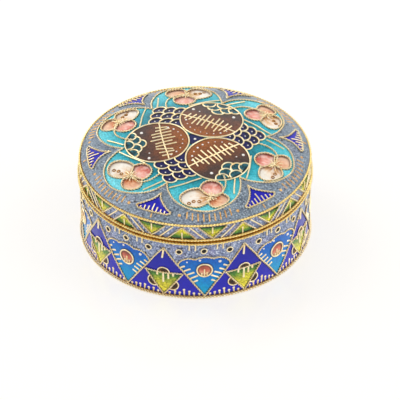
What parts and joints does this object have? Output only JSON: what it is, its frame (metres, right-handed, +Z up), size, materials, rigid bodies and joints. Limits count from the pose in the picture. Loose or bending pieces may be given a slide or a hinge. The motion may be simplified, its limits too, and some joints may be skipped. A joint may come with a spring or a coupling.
{
  "type": "cloisonne enamel box",
  "caption": "Small round box with a domed lift-off lid, enamelled in gilt wire cells with blossoms, veined discs and triangles, edged with twisted wire rings.",
  "frame": {"origin": "centre of the flat underside", "axes": "+Z up along the box's axis; the pictured side faces -Y"},
  "size_m": [0.06, 0.06, 0.0282],
  "materials": {
    "enamel": "glossy fired enamel in cells of royal blue, azure, teal, green, brown and speckled grey blue, between gilt wires",
    "gilt_wire": "twisted gilt wire, bright on the high spots and dark in the grooves"
  },
  "bodies": {
    "root": {"box_body": "enamel", "lid": "enamel", "foot_rope": "gilt_wire", "mouth_rope": "gilt_wire", "lid_edge_rope": "gilt_wire", "lid_shoulder_rope": "gilt_wire"}
  },
  "joints": []
}
